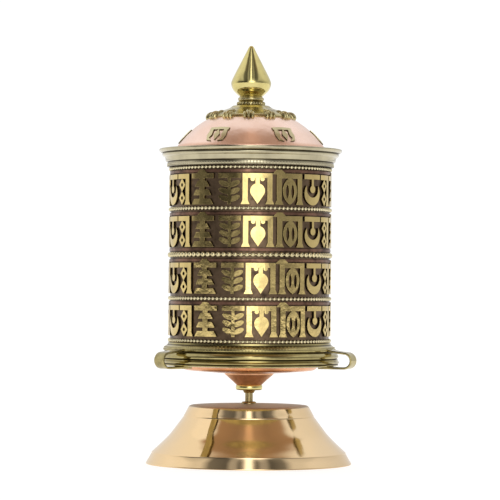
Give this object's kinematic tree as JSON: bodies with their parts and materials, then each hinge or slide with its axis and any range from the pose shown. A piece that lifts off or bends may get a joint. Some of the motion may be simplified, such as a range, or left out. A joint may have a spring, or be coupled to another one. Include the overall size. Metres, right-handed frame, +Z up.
{
  "type": "prayer wheel",
  "caption": "Table prayer wheel: an ornamented drum with a domed, lift-off lid turning on a spindle over a flared brass stand.",
  "frame": {"origin": "centre of the stand's foot, on the surface it rests on", "axes": "+Z up along the spindle; +X through one of the finger loops"},
  "size_m": [0.0901, 0.0864, 0.1755],
  "materials": {
    "stand_brass": "polished",
    "spindle_brass": "satin",
    "fastener_brass": "satin",
    "bush_brass": "satin",
    "plate_copper": "polished",
    "flange_brass": "satin, dark in the grooves",
    "loop_brass": "satin",
    "drum_copper": "darkened",
    "relief_brass": "polished on top, dark at the edges",
    "strip_copper": "satin",
    "bead_brass": "satin, dark between beads",
    "scroll_paper": "matt",
    "band_paper": "matt",
    "dome_copper": "polished",
    "collar_brass": "satin, dark in the hollows",
    "finial_brass": "polished"
  },
  "bodies": {
    "stand": {"stand_shell": "stand_brass", "spindle": "spindle_brass", "spindle_ring": "spindle_brass", "spindle_washer": "fastener_brass", "spindle_nut": "fastener_brass"},
    "wheel": {"lower_bush": "bush_brass", "bearing_cone": "plate_copper", "bottom_plate": "plate_copper", "bottom_flange": "flange_brass", "drum_shell": "drum_copper", "top_flange": "flange_brass", "motif_row_1": "relief_brass", "motif_row_2": "relief_brass", "motif_row_3": "relief_brass", "motif_row_4": "relief_brass", "copper_strip_1": "strip_copper", "copper_strip_2": "strip_copper", "copper_strip_3": "strip_copper", "copper_strip_4": "strip_copper", "grained_strip": "strip_copper", "bead_wire_1": "bead_brass", "bead_wire_2": "bead_brass", "bead_wire_3": "bead_brass", "bead_wire_4": "bead_brass", "bead_wire_5": "bead_brass", "core_tube": "drum_copper", "pivot_cup": "bush_brass", "prayer_scroll": "scroll_paper", "scroll_band": "band_paper", "finger_loop_1": "loop_brass", "finger_loop_2": "loop_brass", "finger_loop_3": "loop_brass"},
    "lid": {"lid_skirt": "dome_copper", "dome": "dome_copper", "dome_ornaments": "relief_brass", "crown_collar": "collar_brass", "lower_neck_ring": "collar_brass", "upper_neck_ring": "collar_brass", "finial": "finial_brass", "finial_washer": "fastener_brass", "finial_nut": "fastener_brass"}
  },
  "joints": [
    {"name": "wheel_spin", "type": "hinge", "parent": "stand", "child": "wheel", "pos_m": [0, 0, 0.119], "axis": [0, 0, 1], "continuous": true},
    {"name": "lid_lift", "type": "slide", "parent": "wheel", "child": "lid", "axis": [0, 0, 1], "range_m": [0, 0.045]}
  ]
}
